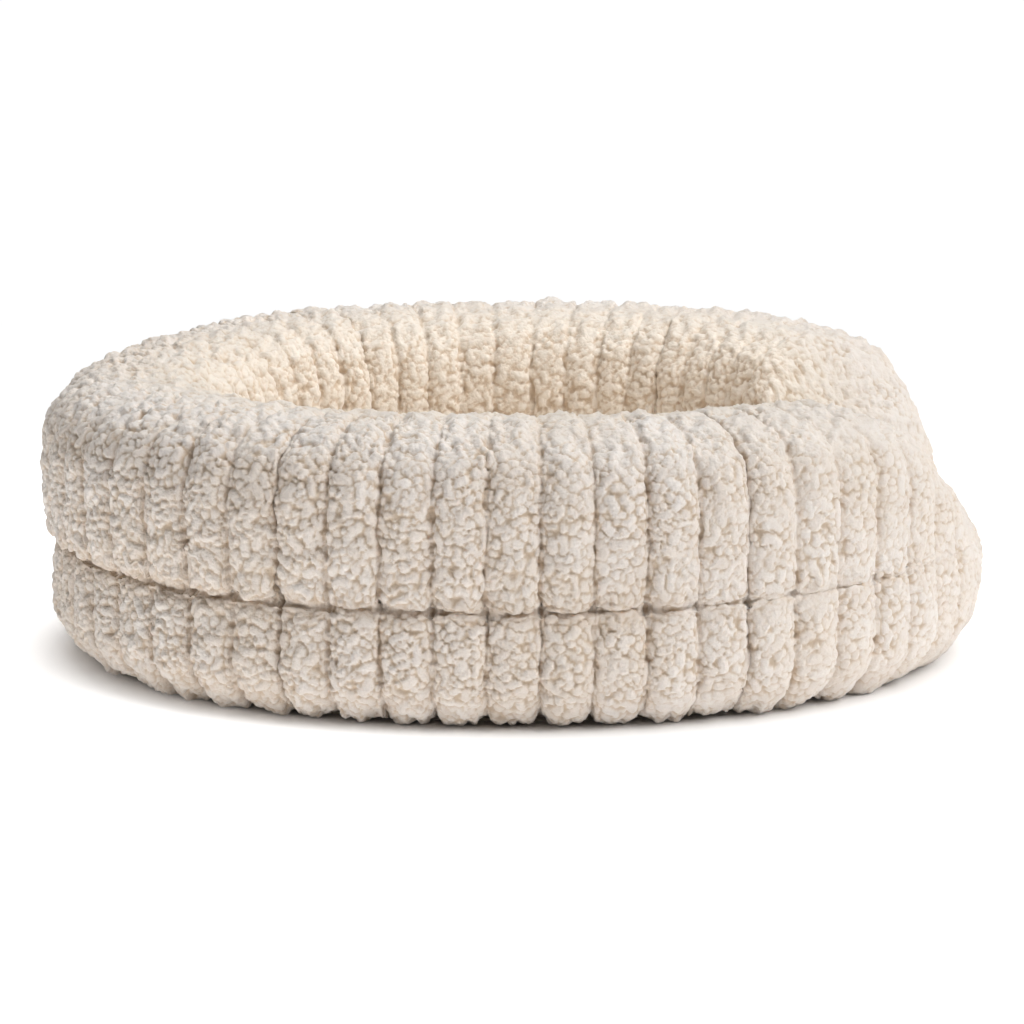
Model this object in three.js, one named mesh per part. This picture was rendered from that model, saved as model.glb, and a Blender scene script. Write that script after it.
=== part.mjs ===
import * as THREE from 'three';

// A bolster pet bed: a filled, ribbed wall of two stitched rolls round a seat cushion, on a base cloth.
// Millimetres. The floor is z = 0, +Z is up, and +X runs along the bed towards its low entrance.

// The wall's centre line in plan is an oval: |x / halfLength|^squareness + |y / halfDepth|^squareness = 1.
const OVAL = { halfLength: 245, halfDepth: 199.5, squareness: 2.14 };

// How the wall's cross-section changes round the ring, measured over the tips of the pile.
// angle is the oval's own angle in degrees. It is 0 at the entrance and 270 at the front.
// top is the wall's height and girth its half-width.
// seam is the height of the stitched crease between the two rolls, and crease its depth.
// lean is how far the upper roll stands outside the lower one.
// merged is 1 where the wall is one round roll and 0 where it is two.
const STATIONS = [
  { angle: 0, top: 117, girth: 70.5, seam: 79, crease: 0, lean: -6, merged: 1 },
  { angle: 10, top: 120, girth: 69.5, seam: 79, crease: 0, lean: -6, merged: 1 },
  { angle: 20, top: 154, girth: 66, seam: 79, crease: 4, lean: -4, merged: 0.2 },
  { angle: 30, top: 190, girth: 66, seam: 78, crease: 14, lean: 0, merged: 0 },
  { angle: 42, top: 194, girth: 66, seam: 78, crease: 21, lean: 0, merged: 0 },
  { angle: 60, top: 196, girth: 66, seam: 78, crease: 21, lean: 0, merged: 0 },
  { angle: 90, top: 196, girth: 66, seam: 78, crease: 21, lean: 0, merged: 0 },
  { angle: 130, top: 194, girth: 66, seam: 79, crease: 21, lean: 2, merged: 0 },
  { angle: 180, top: 185, girth: 65, seam: 80, crease: 21, lean: 6, merged: 0 },
  { angle: 230, top: 190, girth: 66, seam: 78, crease: 21, lean: 4, merged: 0 },
  { angle: 270, top: 190, girth: 66, seam: 77, crease: 21, lean: 0, merged: 0 },
  { angle: 300, top: 188, girth: 66, seam: 79, crease: 21, lean: 0, merged: 0 },
  { angle: 318, top: 187, girth: 66, seam: 81, crease: 21, lean: 0, merged: 0 },
  { angle: 330, top: 175, girth: 67, seam: 81, crease: 14, lean: -2, merged: 0 },
  { angle: 340, top: 139, girth: 69, seam: 80, crease: 4, lean: -4, merged: 0.2 },
  { angle: 350, top: 124, girth: 70, seam: 79, crease: 0, lean: -6, merged: 1 },
];

// How square each part of the cross-section is: 2 is round, and more is fuller.
const SQUARENESS = { foot: 2.3, underSeam: 2.6, overSeam: 2.2, top: 2.4, merged: 2.6 };
const SUNK = 1;
const LEAN_SPREAD = 15;

// Ribs are sewn channels across the wall, equally far apart along its outer face.
// A groove lies at each end of the bed.
const RIB = { count: 54, measuredAt: 66, relief: 8, roundness: 0.55, fadeHeight: 10 };
const RIB_STEPS = 4;
const LOWER_STEPS = 5;
const UPPER_STEPS = 7;

const CLEARANCE = 0.3;
const BASE = { thickness: 2, overhang: 24, points: 144 };
const CUSHION = { crown: 62, edge: 46, girth: 26, points: 108 };

const SHERPA = { color: 0xe9dfd2, roughness: 1, metalness: 0 };
const BASE_CLOTH = { color: 0xcfc4b5, roughness: 0.9, metalness: 0 };

const FOOT = BASE.thickness + CLEARANCE;
const DEG = Math.PI / 180;

function signedPower(value, exponent) {
  return Math.sign(value) * Math.abs(value) ** exponent;
}

// A point on the oval at an angle, and the direction that faces away from the bed there.
function ovalAt(angle) {
  const n = OVAL.squareness;
  const cos = Math.cos(angle);
  const sin = Math.sin(angle);
  const point = new THREE.Vector2(
    OVAL.halfLength * signedPower(cos, 2 / n),
    OVAL.halfDepth * signedPower(sin, 2 / n),
  );
  const outward = new THREE.Vector2(
    signedPower(cos, 2 - 2 / n) / OVAL.halfLength,
    signedPower(sin, 2 - 2 / n) / OVAL.halfDepth,
  ).normalize();
  return { point, outward };
}

// A place beside the oval: offset is the distance outside its line.
function besideOval(angle, offset, z) {
  const { point, outward } = ovalAt(angle);
  return new THREE.Vector3(point.x + outward.x * offset, point.y + outward.y * offset, z);
}

// The angles that split the wall's outer face into equal lengths.
function evenAngles(count) {
  const samples = 7200;
  const lengths = [0];
  let before = besideOval(0, RIB.measuredAt, 0);
  for (let i = 1; i <= samples; i++) {
    const here = besideOval(2 * Math.PI * i / samples, RIB.measuredAt, 0);
    lengths.push(lengths[i - 1] + here.distanceTo(before));
    before = here;
  }
  const angles = [];
  let i = 0;
  for (let k = 0; k < count; k++) {
    const wanted = lengths[samples] * k / count;
    while (lengths[i + 1] <= wanted) {
      i++;
    }
    const part = (wanted - lengths[i]) / (lengths[i + 1] - lengths[i]);
    angles.push(2 * Math.PI * (i + part) / samples);
  }
  return angles;
}

// One column of STATIONS at an angle, by a cubic through the stations that never overshoots them.
function station(column, angle) {
  const count = STATIONS.length;
  const degrees = THREE.MathUtils.euclideanModulo(angle / DEG, 360);
  const row = (i) => STATIONS[THREE.MathUtils.euclideanModulo(i, count)];
  const angleOf = (i) => row(i).angle + 360 * Math.floor(i / count);
  const valueOf = (i) => row(i)[column];
  const slope = (i) => (valueOf(i + 1) - valueOf(i)) / (angleOf(i + 1) - angleOf(i));
  const tangent = (i) => {
    const product = slope(i - 1) * slope(i);
    return product > 0 ? 2 * product / (slope(i - 1) + slope(i)) : 0;
  };
  let i = count - 1;
  while (STATIONS[i].angle > degrees) {
    i--;
  }
  const width = angleOf(i + 1) - angleOf(i);
  const t = (degrees - angleOf(i)) / width;
  const rise = t * t * (3 - 2 * t);
  const bend = width * t * (1 - t) * ((1 - t) * tangent(i) - t * tangent(i + 1));
  return valueOf(i) + (valueOf(i + 1) - valueOf(i)) * rise + bend;
}

// The cross-section's measures at an angle.
function sectionAt(angle) {
  const columns = ['top', 'girth', 'seam', 'crease', 'lean', 'merged'];
  return Object.fromEntries(columns.map((column) => [column, station(column, angle)]));
}

// The height of a quarter-round that is 1 at t = 0 and falls to 0 at t = 1 or -1.
function rounded(t, squareness) {
  return (1 - Math.abs(THREE.MathUtils.clamp(t, -1, 1)) ** squareness) ** (1 / squareness);
}

// Half the wall's width at height z.
// Each roll rounds off fully at its free end, and as far as the crease's depth at the seam.
function wallHalfWidth(section, z) {
  const { top, girth, seam, crease, merged } = section;
  const under = z < seam;
  const low = under ? -SUNK : seam;
  const high = under ? seam : top;
  const t = 2 * (z - low) / (high - low) - 1;
  const atSeam = under ? t > 0 : t < 0;
  const atEnd = under ? SQUARENESS.foot : SQUARENESS.top;
  const besideSeam = under ? SQUARENESS.underSeam : SQUARENESS.overSeam;
  const rolls = girth - (atSeam ? crease : girth) * (1 - rounded(t, atSeam ? besideSeam : atEnd));
  const single = girth * rounded(2 * (z + SUNK) / (top + SUNK) - 1, SQUARENESS.merged);
  return THREE.MathUtils.lerp(rolls, single, merged);
}

// Heights of the section's points from foot to top, closer together at the ends of each roll.
function sectionHeights(section) {
  const eased = (k, steps) => (1 - Math.cos(Math.PI * k / steps)) / 2;
  const lower = Array.from({ length: LOWER_STEPS }, (_, k) =>
    THREE.MathUtils.lerp(FOOT, section.seam, eased(k, LOWER_STEPS)));
  const upper = Array.from({ length: UPPER_STEPS + 1 }, (_, k) =>
    THREE.MathUtils.lerp(section.seam, section.top, eased(k, UPPER_STEPS)));
  return [...lower, ...upper];
}

// The section as points (offset from the oval, height), up the outer side and down the inner side.
function sectionOutline(section) {
  const side = (sign) => sectionHeights(section).map((z) => {
    const rise = (z - section.seam) / LEAN_SPREAD;
    const lean = section.lean * THREE.MathUtils.smoothstep(rise, -1, 1);
    return new THREE.Vector2(lean + sign * wallHalfWidth(section, z), z);
  });
  return [...side(1), ...side(-1).reverse().slice(1)];
}

// How far the surface sinks below the rib crowns: nothing mid-rib, and the full relief in a groove.
function ribDepth(across, z) {
  const crown = (4 * across * (1 - across)) ** RIB.roundness;
  return RIB.relief * (1 - crown) * THREE.MathUtils.smoothstep(z, FOOT, FOOT + RIB.fadeHeight);
}

// One closed cross-section of the wall, where across is the place within a rib from 0 to 1.
function wallSection(angle, across) {
  const section = sectionAt(angle);
  const outline = sectionOutline(section);
  return outline.map((point, j) => {
    const before = outline[(j + outline.length - 1) % outline.length];
    const after = outline[(j + 1) % outline.length];
    const inward = after.clone().sub(before).normalize().rotateAround(new THREE.Vector2(), Math.PI / 2);
    const sunk = inward.multiplyScalar(ribDepth(across, point.y)).add(point);
    return besideOval(angle, sunk.x, sunk.y);
  });
}

// A closed body through a row of closed outlines: joined end to end when looped, else capped at each end.
// Faces between outlines i and i + 1 are split along their other diagonal where mirrored(i) holds.
function loft(outlines, { looped = false, mirrored = () => false } = {}) {
  const size = outlines[0].length;
  const points = outlines.flat();
  const faces = [];
  const spans = looped ? outlines.length : outlines.length - 1;
  for (let i = 0; i < spans; i++) {
    const here = i * size;
    const next = ((i + 1) % outlines.length) * size;
    for (let j = 0; j < size; j++) {
      const k = (j + 1) % size;
      if (mirrored(i)) {
        faces.push(here + j, next + j, here + k, next + j, next + k, here + k);
      } else {
        faces.push(here + j, next + j, next + k, here + j, next + k, here + k);
      }
    }
  }
  if (!looped) {
    const middleOf = (outline) => outline.reduce((sum, p) => sum.add(p), new THREE.Vector3())
      .divideScalar(size);
    const first = points.push(middleOf(outlines[0])) - 1;
    const last = points.push(middleOf(outlines[outlines.length - 1])) - 1;
    const lastRow = (outlines.length - 1) * size;
    for (let j = 0; j < size; j++) {
      const k = (j + 1) % size;
      faces.push(first, j, k, last, lastRow + k, lastRow + j);
    }
  }
  const geometry = new THREE.BufferGeometry().setFromPoints(points);
  geometry.setIndex(faces);
  geometry.computeVertexNormals();
  return geometry;
}

function piece(name, geometry, finish) {
  const mesh = new THREE.Mesh(geometry, new THREE.MeshStandardMaterial(finish));
  mesh.name = name;
  return mesh;
}

// The wall: one filled cloth ring with a crease round it and ribs across it.
function bolsterWall() {
  const sections = evenAngles(RIB.count * RIB_STEPS).map((angle, i) =>
    wallSection(angle, (i % RIB_STEPS) / RIB_STEPS));
  const mirrored = (i) => i % RIB_STEPS >= RIB_STEPS / 2;
  return piece('bolster_wall', loft(sections, { looped: true, mirrored }), SHERPA);
}

// A level outline that keeps a distance outside the oval, given for each angle.
function levelOutline(offsetAt, z, count) {
  return Array.from({ length: count }, (_, i) => {
    const angle = 2 * Math.PI * i / count;
    return besideOval(angle, offsetAt(angle), z);
  });
}

// The seat cushion: one filled oval that fits the wall, with a crown, drawn in above and below its girth.
function seatCushion() {
  const swell = (part) => THREE.MathUtils.lerp(CUSHION.edge, CUSHION.crown, part);
  const profile = [
    { inset: 95, z: swell(0.96) },
    { inset: 60, z: swell(0.78) },
    { inset: 30, z: swell(0.45) },
    { inset: 11, z: CUSHION.edge },
    { inset: 3, z: CUSHION.edge - 8 },
    { inset: 0, z: CUSHION.girth },
    { inset: 4, z: FOOT + 6 },
    { inset: 14, z: FOOT },
  ];
  const outlines = profile.map(({ inset, z }) =>
    levelOutline((angle) => -(station('girth', angle) + CLEARANCE + inset), z, CUSHION.points));
  return piece('seat_cushion', loft(outlines), SHERPA);
}

// The base cloth: one flat oval under the wall and the cushion.
function baseCloth() {
  const outlines = [BASE.thickness, 0].map((z) => levelOutline(() => BASE.overhang, z, BASE.points));
  return piece('base_cloth', loft(outlines), BASE_CLOTH);
}

const group = new THREE.Group();
group.add(bolsterWall(), seatCushion(), baseCloth());

export default group;
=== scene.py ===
"""Looks for a bolster pet bed: curly fleece on a ribbed ring of two rolls, a seat cushion and a
base cloth.

The scene is in metres. Shapes are worked out in millimetres, and mesh_object turns them into
metres. The floor is z = 0 and +X runs towards the low entrance.
"""

import math

import bpy
import numpy as np
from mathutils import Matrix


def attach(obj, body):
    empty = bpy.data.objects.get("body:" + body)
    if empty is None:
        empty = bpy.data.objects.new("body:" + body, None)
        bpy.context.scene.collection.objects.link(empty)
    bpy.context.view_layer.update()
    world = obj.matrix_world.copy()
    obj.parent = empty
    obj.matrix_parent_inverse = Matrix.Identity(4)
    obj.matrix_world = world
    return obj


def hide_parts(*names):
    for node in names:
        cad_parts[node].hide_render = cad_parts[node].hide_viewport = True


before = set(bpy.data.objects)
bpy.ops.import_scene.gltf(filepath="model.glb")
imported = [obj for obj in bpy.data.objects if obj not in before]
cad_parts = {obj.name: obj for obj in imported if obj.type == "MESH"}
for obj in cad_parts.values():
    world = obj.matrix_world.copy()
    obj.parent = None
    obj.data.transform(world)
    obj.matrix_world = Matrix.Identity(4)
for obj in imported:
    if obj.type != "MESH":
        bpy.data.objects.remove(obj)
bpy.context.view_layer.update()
MM = 0.001

# Camera, as fitted to the photograph.
CAMERA_DISTANCE = 3.0
CAMERA_ELEVATION = 12.09
CAMERA_AIM = (-0.001, 0.0, 0.0866)
CAMERA_LENS = 156.45

# The wall's centre line in plan, as in the solids: a superellipse.
OVAL = {"half_length": 245, "half_depth": 199.5, "squareness": 2.14}

# The wall's cross-section round the ring, in millimetres, as in the solids.
STATION_COLUMNS = ("angle", "top", "girth", "seam", "crease", "lean", "merged")
STATIONS = np.array([
    (0, 117, 70.5, 79, 0, -6, 1),
    (10, 120, 69.5, 79, 0, -6, 1),
    (20, 154, 66, 79, 4, -4, 0.2),
    (30, 190, 66, 78, 14, 0, 0),
    (42, 194, 66, 78, 21, 0, 0),
    (60, 196, 66, 78, 21, 0, 0),
    (90, 196, 66, 78, 21, 0, 0),
    (130, 194, 66, 79, 21, 2, 0),
    (180, 185, 65, 80, 21, 6, 0),
    (230, 190, 66, 78, 21, 4, 0),
    (270, 190, 66, 77, 21, 0, 0),
    (300, 188, 66, 79, 21, 0, 0),
    (318, 187, 66, 81, 21, 0, 0),
    (330, 175, 67, 81, 14, -2, 0),
    (340, 139, 69, 80, 4, -4, 0.2),
    (350, 124, 70, 79, 0, -6, 1),
], dtype=float)
SQUARENESS = {"foot": 2.3, "under_seam": 2.6, "over_seam": 2.2, "top": 2.4, "merged": 2.6}
CREASE_WHOLE = 21.0
LEAN_SPREAD = 15.0

# The sections are drawn from SUNK below the floor and cut off at FOOT, on top of the base cloth.
SUNK = 1.0
FOOT = 2.3

# The wall's outer face is about this far outside the oval. Ribs are spaced evenly along it.
FACE_OFFSET = 66.0

# A fade is the share that is lost, where the loss starts and where it is whole. The pile fills part
# of the crease, so it shows less deep than in the solids, and less still towards the entrance.
CREASE_SHOWN = 0.42
CREASE_FADE = (0.5, 0.0, 0.9)

# Ribs: their relief, how round their tops are and how much they differ. Their grooves fade over the
# crest, at the entrance and in the hollow.
RIBS = 54
RIB_WIDTH = 34.0
RIB_RELIEF = 5.2
RIB_ROUNDNESS = 0.58
RIB_VARIETY = (0.85, 1.15)
RIB_UNEVEN = 0.5
CREST_FADE = (0.45, 0.45, 0.95)
ENTRANCE_FADE = (0.4, 0.75, 0.97)
HOLLOW_FADE = (0.35, 0, 25)

# A narrow slit runs along each groove and a shallower one along the crease. No curl starts closer
# to a groove than BARE_BY_GROOVE.
SLIT_DEPTH = 2.2
SLIT_HALF_WIDTH = 0.1
SLIT_SHOULDER = 1.2
SHOULDER_DEPTH = 0.25
SEAM_SLIT = 0.2
SEAM_SLIT_ROWS = 1.4
BARE_BY_GROOVE = 0.6

# Mesh density: columns to a rib, closer together by the grooves, and rows along each part of the
# section. The wall is cut into segments of mesh.
COLUMNS = 26
CROWDING = 0.3
ROWS = {"lower": 80, "upper": 124, "inner_upper": 96, "inner_lower": 40, "foot": 6}
SEGMENTS = 6
RING_SAMPLES = 7201
SIDE_SAMPLES = 400

# Curls of the pile: short rows of rounded lumps, laid big ones first. CURL_LENGTHS has the chances
# of 1, 2, 3 and 4 lumps. WAVER bends the lumps' outlines.
LUMP_RADIUS = (1.5, 4.2)
LUMP_TYPICAL = 2.55
LUMP_VARIETY = 0.3
LUMP_PACKING = 0.77
LUMP_SPREAD = 1.46
LUMP_BULGE = 1.15
LUMP_FULLNESS = 2.1
LUMP_STEP = 1.05
LUMP_TAPER = 0.93
LUMP_SUNK = 0.2
CURL_LENGTHS = (0.5, 0.3, 0.15, 0.05)
CURL_BEND = 0.75
CURL_SUNK = 0.6
TRIES_A_LUMP = 2.6
LONG_FIRST = 0.35
ORDER_SHUFFLE = 0.2
PILE_FLOOR = 3.2
LEAST_STEP = 0.3
WAVER = 0.6
WAVER_LENGTH = 5.0

# Creases between curls: how deep and how wide they are, how far their painted shade spreads out
# over the lumps and the shares of its narrow and wide parts. Grid points up to SNAP_SHARE of a step
# away slide onto them.
CREASE_DEPTH = 0.6
CREASE_WIDTH = 0.4
CREASE_SHADE_SPREAD = 0.8
CREASE_SHADE_SHARE = (0.7, 0.3)
SNAP_SHARE = 0.48
SNAP_RANGE = (-0.5, 3.0)
SNAP_START = 0.3
SNAP_ROUNDS = 3

# Where the pile changes over the wall: each pair is where a change starts and where it is whole.
CREST = (0.35, 0.9)
BACK = (0.0, 0.6)
ENTRANCE_END = (-0.1, 0.8)
OTHER_END = (0.1, 0.9)
HOLLOW_ROWS = (-20, 30)

# How far the pile is brushed flat, towards its middle height, and at most.
BRUSHED_CREST = 0.3
BRUSHED_ENTRANCE = 0.25
BRUSHED_PATCHES = 0.25
BRUSHED_BACK = 0.3
BRUSHED_MOST = 0.6
PILE_MIDDLE = 1.1
PILE_RISE = 0.6

# Locks of pile hang over the crease, in rows above it, and over the lower edge. LOCK_LEAST and
# LOCK_MOST are how far that edge drops between the locks and at their tips.
FRINGE_START = (1, 7)
FRINGE_END = (9, 24)
FRINGE_OUT = 1.2
FRINGE_DROP = (0.5, 4.0)
FRINGE_SAMPLE = 12
LOCK_LEAST = 0.8
LOCK_MOST = 5.2
LOCK_SAMPLE = 20
LOCK_HEIGHTS = (5.0, 19.0)
LOCK_ROWS = (0, 4)
ABOVE_FLOOR = 0.3
# The band of painted shadow along the crease between the rolls spreads over this many rows.
SEAM_SHADOW_ROWS = 9

# Seeds, and the smooth noises over the surface: wavelength in millimetres and seed.
RIB_SEED = 7
WALL_SEED = 40
CUSHION_SEED = 80
NOISE = {
    "sideways": (20.0, 3), "upwards": (24.0, 4), "broad": (40.0, 5), "middling": (15.0, 6),
    "open_groove": (14.0, 8), "brushed": (30.0, 9), "edge_locks": (9.0, 12),
    "crease_locks": (11.0, 13), "crest": (11.0, 14), "crest_fine": (6.0, 15), "seat": (90.0, 61),
}
NOISE_WAVES = 14
NOISE_BAND = (0.75, 1.5)
NOISE_PEAK = 1.8
WANDER = 1.2

# The seat cushion: its height by distance from the edge, and its lower edge as (inset, height).
CUSHION_PROFILE = np.array([
    (0, 26), (0.5, 37), (3, 44), (9, 49.5), (28, 55), (60, 59.2), (95, 61.6), (200, 62),
])
CUSHION_LOWER_EDGE = ((4.0, 12.0), (12.0, FOOT))
CUSHION_HALF = (178.0, 133.0)
CUSHION_GRID = (250, 190)
CUSHION_GAP = 0.3
CUSHION_TUCK = 1.2
EDGE_SUNK = 1.5
EDGE_SAMPLES = 2881
PROFILE_FINE = 12
PROFILE_SAMPLES = (200, 400)
PROFILE_SMOOTHING = 31
SEAT_DIP = 1.6
SEAT_DIP_FROM = (5, 40)

# The base cloth: how far it reaches outside the oval, and its section as (inset, height).
BASE_OVERHANG = 24.0
BASE_THICKNESS = 2.0
BASE_SIDES = 720
BASE_SECTION = (
    (120, 0), (10, 0), (0.6, 0), (0, 0.5),
    (0, 1.5), (0.6, BASE_THICKNESS), (10, BASE_THICKNESS), (120, BASE_THICKNESS),
)

# Colours of the pile. Its tips differ at random by curl, in patches and by fibre, and are palest
# over the crest, a painted highlight. In the hollow and on the cushion they are paler and warmer,
# painted bounce light. Painted shade lies down between the curls, deep in the pile, in the grooves
# and along the crease.
TIP_DARK = (0.88, 0.80, 0.73, 1)
TIP_PALE = (0.965, 0.915, 0.87, 1)
TIP_PATCH = (0.88, 0.785, 0.69, 1)
TIP_FIBRE = (0.70, 0.60, 0.49, 1)
TIP_HOLLOW_BOUNCE = (0.945, 0.87, 0.775, 1)
CREASE_SHADE_COLOUR = (0.67, 0.53, 0.40, 1)
DEEP_SHADE_COLOUR = (0.69, 0.56, 0.43, 1)
GROOVE_SHADE_COLOUR = (0.62, 0.50, 0.39, 1)
CREASE_SHADE_TINT = 0.5
GROOVE_SHADE_TINT = 0.55

# The floor, and the half length and half depth of the bed on it, in metres.
FLOOR_HALF = 20.0
BED_HALF = (0.315, 0.265)
WHITE = (1.0, 1.0, 1.0, 1)

# Suns: azimuth, elevation and width in degrees, and energy. Azimuth 0 is the camera's side and 90
# the right.
SUNS = {
    "key_right": (60, 45, 32, 1.25),
    "high_right": (84, 62, 50, 1.2),
    "back_top": (180, 62, 50, 1.0),
}


# Small shared maths

def signed_power(value, exponent):
    return np.sign(value) * np.abs(value) ** exponent


def smoothstep(value, low, high):
    t = np.clip((value - low) / (high - low), 0.0, 1.0)
    return t * t * (3.0 - 2.0 * t)


def fading(value, share, low, high):
    """1 up to low, then less, by share in all from high on."""
    return 1 - share * smoothstep(value, low, high)


def unit(vectors):
    return vectors / np.maximum(np.linalg.norm(vectors, axis=-1, keepdims=True), 1e-12)


def oval_at(angle):
    """Points on the oval, in millimetres, and the directions that face away from the bed."""
    n = OVAL["squareness"]
    cos, sin = np.cos(angle), np.sin(angle)
    point = np.stack([
        OVAL["half_length"] * signed_power(cos, 2 / n),
        OVAL["half_depth"] * signed_power(sin, 2 / n),
    ], axis=-1)
    outward = unit(np.stack([
        signed_power(cos, 2 - 2 / n) / OVAL["half_length"],
        signed_power(sin, 2 - 2 / n) / OVAL["half_depth"],
    ], axis=-1))
    return point, outward


def beside_oval(angle, offset, z):
    """Places beside the oval, offset outside its line. The three are arrays of one shape."""
    point, outward = oval_at(angle)
    plan = point + outward * offset[..., None]
    return np.concatenate([plan, z[..., None]], axis=-1)


def angles_round(part):
    """Angles at shares of the way round the wall's outer face, starting at the entrance."""
    samples = np.linspace(0, 2 * np.pi, RING_SAMPLES)
    face = beside_oval(samples, np.full_like(samples, FACE_OFFSET), np.zeros_like(samples))
    steps = np.linalg.norm(np.diff(face, axis=0), axis=1)
    lengths = np.concatenate([[0.0], np.cumsum(steps)])
    return np.interp(part * lengths[-1], lengths, samples)


def station(column, angle):
    """One column of STATIONS at each angle, by a cubic that never overshoots the stations."""
    known = STATIONS[:, 0]
    value = STATIONS[:, STATION_COLUMNS.index(column)]
    width = np.diff(np.append(known, known[0] + 360.0))
    slope = (np.roll(value, -1) - value) / width
    before = np.roll(slope, 1)
    product = before * slope
    tangent = np.where(product > 0, 2 * product / np.where(product > 0, before + slope, 1.0), 0.0)
    degrees = np.degrees(angle) % 360.0
    i = np.searchsorted(known, degrees, side="right") - 1
    j = (i + 1) % len(known)
    t = (degrees - known[i]) / width[i]
    rise = t * t * (3 - 2 * t)
    bend = width[i] * t * (1 - t) * ((1 - t) * tangent[i] - t * tangent[j])
    return value[i] + (value[j] - value[i]) * rise + bend


def section_at(angle):
    return {column: station(column, angle)[:, None] for column in STATION_COLUMNS[1:]}


def rounded(t, squareness):
    return (1 - np.abs(np.clip(t, -1, 1)) ** squareness) ** (1 / squareness)


def wall_half_width(section, z):
    """Half the wall's width at heights z, one row for each section."""
    top, girth, seam = section["top"], section["girth"], section["seam"]
    crease = section["crease"] * CREASE_SHOWN
    under = z < seam
    low = np.where(under, -SUNK, seam)
    high = np.where(under, seam, top)
    t = 2 * (z - low) / (high - low) - 1
    at_seam = np.where(under, t > 0, t < 0)
    at_end = np.where(under, rounded(t, SQUARENESS["foot"]), rounded(t, SQUARENESS["top"]))
    beside = np.where(under, rounded(t, SQUARENESS["under_seam"]),
                      rounded(t, SQUARENESS["over_seam"]))
    rolls = girth - np.where(at_seam, crease, girth) * (1 - np.where(at_seam, beside, at_end))
    single = girth * rounded(2 * (z + SUNK) / (top + SUNK) - 1, SQUARENESS["merged"])
    return rolls + (single - rolls) * section["merged"]


def section_side(section, low, high, sign, count):
    """Points (offset, z) evenly spaced along one side of each section, from height low to high."""
    eased = (1 - np.cos(np.pi * np.linspace(0, 1, SIDE_SAMPLES))) / 2
    z = low + (high - low) * eased[None, :]
    lean = section["lean"] * smoothstep((z - section["seam"]) / LEAN_SPREAD, -1, 1)
    offset = lean + sign * wall_half_width(section, z)
    steps = np.hypot(np.diff(offset, axis=1), np.diff(z, axis=1))
    lengths = np.concatenate([np.zeros((len(z), 1)), np.cumsum(steps, axis=1)], axis=1)
    lengths /= lengths[:, -1:]
    wanted = np.linspace(0, 1, count + 1)
    offsets = np.stack([np.interp(wanted, l, o) for l, o in zip(lengths, offset)])
    heights = np.stack([np.interp(wanted, l, h) for l, h in zip(lengths, z)])
    return np.stack([offsets, heights], axis=-1)


# The pile

def soft_noise(points, wavelength, seed):
    """Smooth noise from about -1 to 1: a sum of plane waves in seeded directions."""
    rng = np.random.default_rng(seed)
    total = np.zeros(points.shape[:-1])
    for _ in range(NOISE_WAVES):
        direction = unit(rng.normal(size=3))
        size = wavelength * rng.uniform(*NOISE_BAND)
        total += np.sin(points @ direction * (2 * np.pi / size) + rng.uniform(0, 2 * np.pi))
    return total / math.sqrt(NOISE_WAVES / 2) / NOISE_PEAK


def noise(points, name):
    return soft_noise(points, *NOISE[name])


NEAR_BOXES = [(i, j, k) for i in (-1, 0, 1) for j in (-1, 0, 1) for k in (-1, 0, 1)]


def crowded(taken, box, here, radius):
    """Whether a lump would sit too deep in one that is already laid. taken has those by box."""
    for i, j, k in NEAR_BOXES:
        for x, y, z, other in taken.get((box[0] + i, box[1] + j, box[2] + k), ()):
            reach = LUMP_PACKING * (radius + other)
            if (here[0] - x) ** 2 + (here[1] - y) ** 2 + (here[2] - z) ** 2 < reach * reach:
                return True
    return False


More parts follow.
